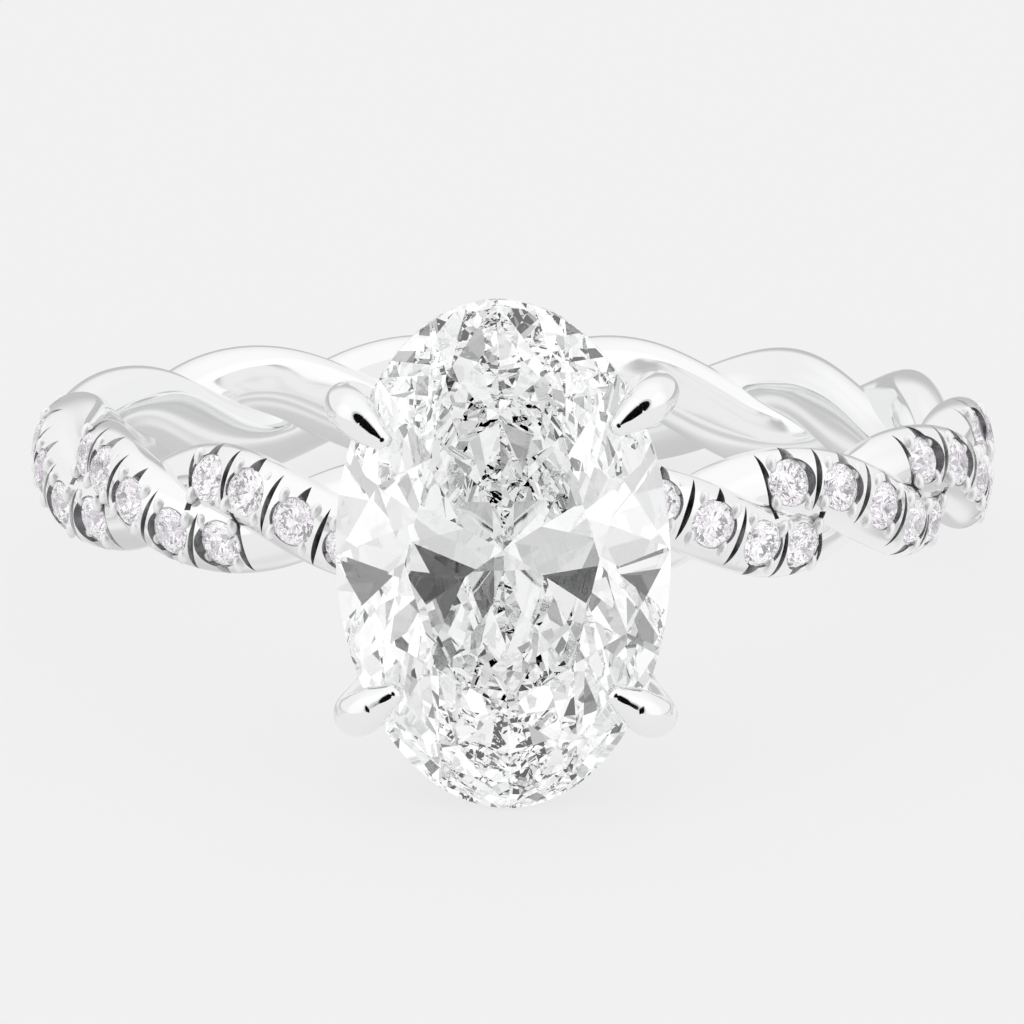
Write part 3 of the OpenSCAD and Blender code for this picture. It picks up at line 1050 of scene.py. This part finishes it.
def sky_area(centre, inner, outer):
    """1 inside a cone about a direction, fading to 0 between two angles in degrees. Both are
    compared as cosines with the dot product of the two directions."""
    dot = nodes.new("ShaderNodeVectorMath")
    dot.operation = "DOT_PRODUCT"
    links.new(way, dot.inputs[0])
    dot.inputs[1].default_value = Vector(centre).normalized()
    fade = (np.cos(np.radians(outer)), np.cos(np.radians(inner)))
    return between(nodes, links, dot.outputs["Value"], (0.0, 1.0), fade, smooth=True)


def add(a, b, share):
    """a + share * b."""
    step = nodes.new("ShaderNodeMath")
    step.operation = "MULTIPLY_ADD"
    links.new(b, step.inputs[0])
    step.inputs[1].default_value = share
    feed(links, a, step.inputs[2])
    return step.outputs["Value"]


light = SKY_LEVEL
for centre, inner, outer, share in SKY_AREAS:
    light = add(light, sky_area(centre, inner, outer), share)
print("areas of the sky:", len(SKY_AREAS))

# %% [markdown]
# ## What the stones pick up
# A stone shows little pieces of the whole room, and in an even tent it would be washed out.
# A photographer gives it dark and bright things to pick up. Here the sky that is seen through
# the stones is broken into cells of different brightness. They show inside the stones alone,
# and the turn of the pattern was chosen so that the star of the photo comes out.

# %% Patches of light and shade
PATCH_SCALE = 4.0
PATCH_TURN = (2.443, 4.608, 5.887)
PATCH_LEVELS = [
    (0.0, 0.05),
    (0.08, 0.09),
    (0.10, 0.33),
    (0.22, 0.53),
    (0.26, 0.77),
    (0.46, 0.91),
    (0.52, 1.04),
    (1.0, 1.22),
]
turned_way = nodes.new("ShaderNodeMapping")
turned_way.vector_type = "VECTOR"
turned_way.inputs["Rotation"].default_value = PATCH_TURN
links.new(way, turned_way.inputs["Vector"])
cells = nodes.new("ShaderNodeTexVoronoi")
cells.inputs["Scale"].default_value = PATCH_SCALE
links.new(turned_way.outputs["Vector"], cells.inputs["Vector"])
cell_value = nodes.new("ShaderNodeSeparateColor")
links.new(cells.outputs["Color"], cell_value.inputs["Color"])
patches = levels(nodes, links, cell_value.outputs["Red"], PATCH_LEVELS)
through_stone = nodes.new("ShaderNodeLightPath").outputs["Is Transmission Ray"]
links.new(choose(nodes, links, through_stone, light, patches), sky.inputs["Strength"])
sky.inputs["Color"].default_value = (1.0, 1.0, 1.0, 1)
print("levels of the patches:", len(PATCH_LEVELS))

# %% [markdown]
# ## Camera
# The photo was taken from far away with a long lens, a little above the plane of the ring.
# The angles were fitted together with the shape of the shank. The scale holds at the middle
# of the ring, so the lens follows from the distance and the millimetres in the frame. A
# camera still farther away would fit as well, but a view from another side keeps this lens,
# and would then stand so far off that the ring is cut from its picture.

# %% Camera
LIFT = np.radians(8.357)
SWING = np.radians(0.88)
ROLL = np.radians(0.142)
PX_PER_MM = 46.826
FRAME_PX = 1024
LOOK = np.array([-0.0235, 0.0, -1.1228])
FAR = 900.0
SENSOR = 36

towards = np.array([np.sin(SWING) * np.cos(LIFT), -np.cos(SWING) * np.cos(LIFT), np.sin(LIFT)])
right = np.array([np.cos(SWING), np.sin(SWING), 0])
up = np.cross(towards, right)
right, up = np.cos(ROLL) * right + np.sin(ROLL) * up, np.cos(ROLL) * up - np.sin(ROLL) * right
lens = bpy.data.cameras.new("camera")
lens.sensor_width = SENSOR
lens.lens = SENSOR * FAR / (FRAME_PX / PX_PER_MM)
lens.clip_start = 0.05
lens.clip_end = 10
camera = bpy.data.objects.new("camera", lens)
bpy.context.scene.collection.objects.link(camera)
bpy.context.scene.camera = camera
place = np.eye(4)
place[:3, 0] = right @ TURN
place[:3, 1] = up @ TURN
place[:3, 2] = towards @ TURN
place[:3, 3] = in_part(LOOK + FAR * towards)
camera.matrix_world = Matrix(place.tolist())
print("lens in mm:", round(lens.lens))

# %% [markdown]
# ## Cards for the reflections
# The black slits on the claws are the mirrored camera, and the grey shapes round them are
# what stands beside it. Photographers place such cards on purpose. Here each card glows by
# itself and is seen by mirrored rays alone, so it changes what the metal and the facets
# mirror and nothing else.

# %% Helpers for the cards
DISC_SIDES = 64


def mirrored_card(name, points):
    """A flat card from its corners, seen by mirrored rays alone, and its glowing shader."""
    mesh = new_mesh(name, points, np.arange(len(points))[None])
    card = bpy.data.objects.new(name, mesh)
    bpy.context.scene.collection.objects.link(card)
    card.visible_camera = False
    card.visible_shadow = False
    card.visible_diffuse = False
    card.visible_transmission = False
    made, shader = material(name)
    shader.inputs["Base Color"].default_value = (0, 0, 0, 1)
    shader.inputs["Specular IOR Level"].default_value = 0.0
    shader.inputs["Emission Color"].default_value = (1, 1, 1, 1)
    mesh.materials.append(made)
    return made, shader


def disc_points(distance, lift, half):
    """Corners of an oval disc of two angular half sizes, its middle lifted over the line to
    the camera: middle + r_x cos t right + r_y sin t up, each r = distance tan(half)."""
    t = around(DISC_SIDES)
    middle = LOOK + distance * (towards + np.tan(np.radians(lift)) * up)
    r = distance * np.tan(np.radians(half))
    return middle + r[0] * np.cos(t)[:, None] * right + r[1] * np.sin(t)[:, None] * up


print("corners of a disc:", DISC_SIDES)

# %% [markdown]
# ## The lens and what is round it
# Seen from the ring, the lens is a dark disc 23 degrees to each side, and the grey disc is a
# little larger all round, so a thin grey rim shows beside each black slit. The sizes are
# angles, because only the angle counts for what a mirror shows.

# %% Lens and grey disc
# Name, distance in mm, lift and two half sizes in degrees, brightness
DISCS = [
    ("lens_disc", 400, 2, [23, 24], 0.0),
    ("grey_disc", 420, 3, [28, 31], 0.66),
]
for name, distance, lift, half, level in DISCS:
    disc_shader = mirrored_card(name, disc_points(distance, lift, half))[1]
    disc_shader.inputs["Emission Strength"].default_value = level
print("discs:", len(DISCS))

# %% [markdown]
# ## The card in the finger hole
# The inside of the back strands faces the finger hole, and would mirror the black lens as a
# long crescent. The photo shows pale streaks there instead. A card across the hole hides the
# lens from them, and noise that is stretched along the finger makes the streaks.

# %% Card in the finger hole
HOLE_CARD_HALF = 7
HOLE_CARD_LOW = -2.8
HOLE_CARD_HIGH = 9.0
STREAK_GRAIN = 420
STREAK_TURN = (0, 0.5, 0)
STREAK_STRETCH = (1, 1, 0.25)
STREAK_LEVELS = [(0.38, 0.55), (0.56, 0.9)]

hole_corners = np.array([
    [-HOLE_CARD_HALF, 0, HOLE_CARD_LOW],
    [HOLE_CARD_HALF, 0, HOLE_CARD_LOW],
    [HOLE_CARD_HALF, 0, HOLE_CARD_HIGH],
    [-HOLE_CARD_HALF, 0, HOLE_CARD_HIGH],
])
veil, veil_shader = mirrored_card("hole_card", hole_corners)
nodes = veil.node_tree.nodes
links = veil.node_tree.links
stretch = nodes.new("ShaderNodeMapping")
stretch.inputs["Rotation"].default_value = STREAK_TURN
stretch.inputs["Scale"].default_value = STREAK_STRETCH
links.new(nodes.new("ShaderNodeTexCoord").outputs["Object"], stretch.inputs["Vector"])
streak = noise(nodes, links, stretch.outputs["Vector"], STREAK_GRAIN, 1, 0.4)
links.new(levels(nodes, links, streak, STREAK_LEVELS), veil_shader.inputs["Emission Strength"])
print("card in the finger hole, half width in mm:", HOLE_CARD_HALF)

# %% [markdown]
# ## Tone and bounces
# The Standard view keeps the pale tones of the photo, which a film-like view would turn grey.
# Light bounces many times inside a diamond before it leaves, so the limits are far above the
# usual ones. With fewer, the facets that send light round the longest go black.

# %% Render limits that belong to the looks
BOUNCES = 26
bpy.context.scene.view_settings.view_transform = "Standard"
cycles = bpy.context.scene.cycles
cycles.max_bounces = BOUNCES
cycles.transmission_bounces = BOUNCES
cycles.glossy_bounces = BOUNCES
print("bounces:", BOUNCES)
